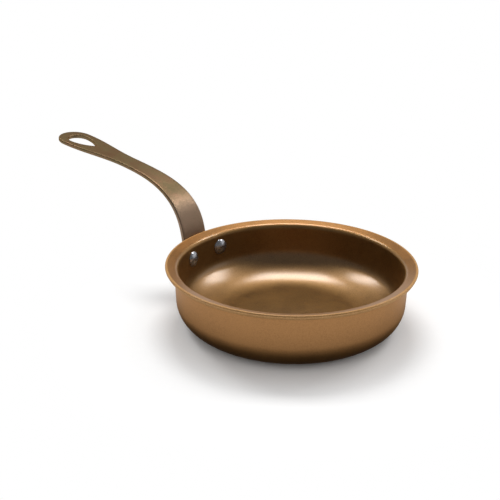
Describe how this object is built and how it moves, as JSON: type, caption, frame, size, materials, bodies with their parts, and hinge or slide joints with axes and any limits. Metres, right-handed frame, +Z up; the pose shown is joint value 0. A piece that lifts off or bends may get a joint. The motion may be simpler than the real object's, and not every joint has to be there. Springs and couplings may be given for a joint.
{
  "type": "omelette pan",
  "caption": "Shallow round metal pan with a flared lip and a riveted strap handle that rises from the rim and ends in a paddle with a teardrop hanging hole.",
  "frame": {"origin": "centre of the base's flat resting face", "axes": "+Z up out of the pan's mouth, the handle runs towards -X, and both sides of the XZ plane are alike"},
  "size_m": [0.273, 0.152, 0.0882],
  "materials": {
    "body_metal": "copper-toned coating with a fine metallic grain",
    "handle_metal": "cast, aged bronze tone",
    "rivet_metal": "smooth steel"
  },
  "bodies": {
    "root": {"pan_body": "body_metal", "handle": "handle_metal", "rivet_left": "rivet_metal", "rivet_right": "rivet_metal"}
  },
  "joints": []
}
